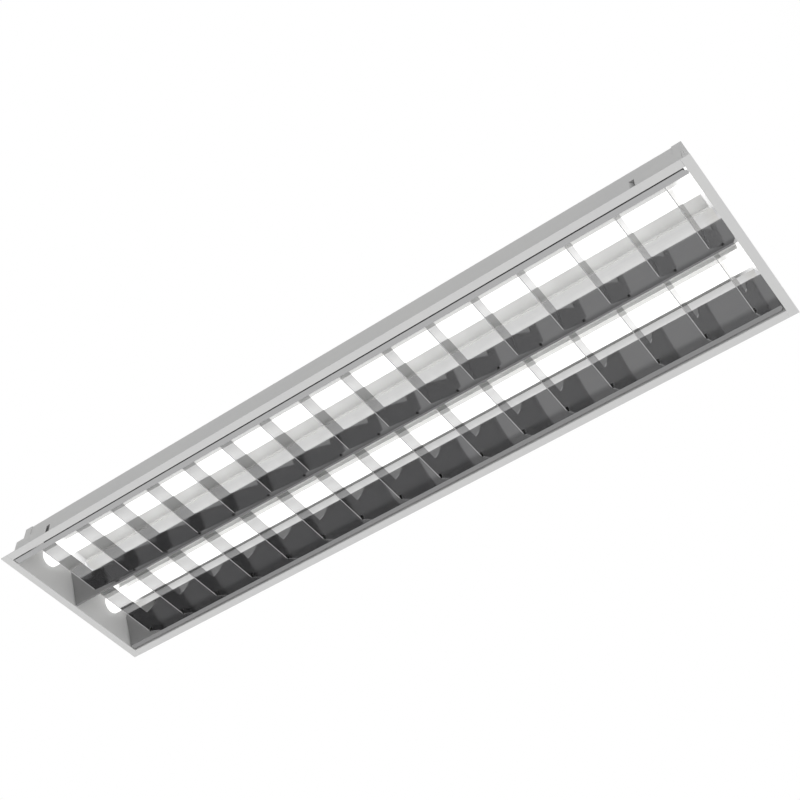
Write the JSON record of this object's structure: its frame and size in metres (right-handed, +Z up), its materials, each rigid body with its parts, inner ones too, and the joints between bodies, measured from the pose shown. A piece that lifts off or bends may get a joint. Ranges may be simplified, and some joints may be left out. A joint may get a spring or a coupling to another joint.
{
  "type": "recessed troffer light",
  "caption": "Recessed ceiling light: a stepped white steel housing with straight tubes in turning holders and a hinged mirror louvre of curved reflectors and cross blades.",
  "frame": {"origin": "centre of the flange's underside, the plane that shows under the ceiling", "axes": "+X along the length, +Y across towards the louvre's hinge side, +Z up into the ceiling void"},
  "size_m": [1.247, 0.308, 0.077],
  "materials": {
    "housing_paint": "white powder coat, satin",
    "louvre_aluminium": "bright anodised mirror sheet",
    "bracket_steel": "zinc plated",
    "fastener_steel": "zinc plated",
    "lamp_glass": "white phosphor coat inside clear glass",
    "lamp_cap_aluminium": "satin",
    "holder_plastic": "moulded, semi-gloss",
    "rotor_plastic": "moulded, semi-gloss",
    "block_plastic": "moulded, matt",
    "grommet_rubber": "matt",
    "ballast_case": "thin-coated steel can"
  },
  "bodies": {
    "housing": {"housing_body": "housing_paint", "gear_cover": "housing_paint", "cap_rivets": "fastener_steel", "wall_rivets": "fastener_steel", "cover_screws": "fastener_steel", "ballast": "ballast_case", "ballast_screws": "fastener_steel", "terminal_block": "block_plastic", "cable_grommet": "grommet_rubber", "earth_screw": "fastener_steel", "end_cap_left": "housing_paint", "hinge_bracket_left": "bracket_steel", "hinge_pin_left": "bracket_steel", "louvre_clip_left": "bracket_steel", "lampholder_near_left": "holder_plastic", "lampholder_far_left": "holder_plastic", "end_cap_right": "housing_paint", "hinge_bracket_right": "bracket_steel", "hinge_pin_right": "bracket_steel", "louvre_clip_right": "bracket_steel", "lampholder_near_right": "holder_plastic", "lampholder_far_right": "holder_plastic"},
    "louvre": {"centre_reflector": "louvre_aluminium", "side_reflector_near": "louvre_aluminium", "side_reflector_far": "louvre_aluminium", "blade_01": "louvre_aluminium", "blade_02": "louvre_aluminium", "blade_03": "louvre_aluminium", "blade_04": "louvre_aluminium", "blade_05": "louvre_aluminium", "blade_06": "louvre_aluminium", "blade_07": "louvre_aluminium", "blade_08": "louvre_aluminium", "blade_09": "louvre_aluminium", "blade_10": "louvre_aluminium", "blade_11": "louvre_aluminium", "blade_12": "louvre_aluminium", "blade_13": "louvre_aluminium", "blade_14": "louvre_aluminium", "blade_15": "louvre_aluminium", "blade_16": "louvre_aluminium", "hinge_ear_left": "bracket_steel", "hinge_ear_right": "bracket_steel", "catch_tab_left": "bracket_steel", "catch_tab_right": "bracket_steel"},
    "lamp_near": {"lamp_glass_near": "lamp_glass", "lamp_cap_near_left": "lamp_cap_aluminium", "lamp_cap_near_right": "lamp_cap_aluminium", "rotor_near_left": "rotor_plastic", "rotor_near_right": "rotor_plastic"},
    "lamp_far": {"lamp_glass_far": "lamp_glass", "lamp_cap_far_left": "lamp_cap_aluminium", "lamp_cap_far_right": "lamp_cap_aluminium", "rotor_far_left": "rotor_plastic", "rotor_far_right": "rotor_plastic"}
  },
  "joints": [
    {"name": "louvre_hinge", "type": "hinge", "parent": "housing", "child": "louvre", "pos_m": [0, 0.1335, 0.006], "axis": [1, 0, 0], "range_deg": [0, 90]},
    {"name": "lamp_near_turn", "type": "hinge", "parent": "housing", "child": "lamp_near", "pos_m": [0, -0.0726, 0.056], "axis": [1, 0, 0], "range_deg": [0, 90]},
    {"name": "lamp_far_turn", "type": "hinge", "parent": "housing", "child": "lamp_far", "pos_m": [0, 0.0726, 0.056], "axis": [1, 0, 0], "range_deg": [0, 90]}
  ]
}
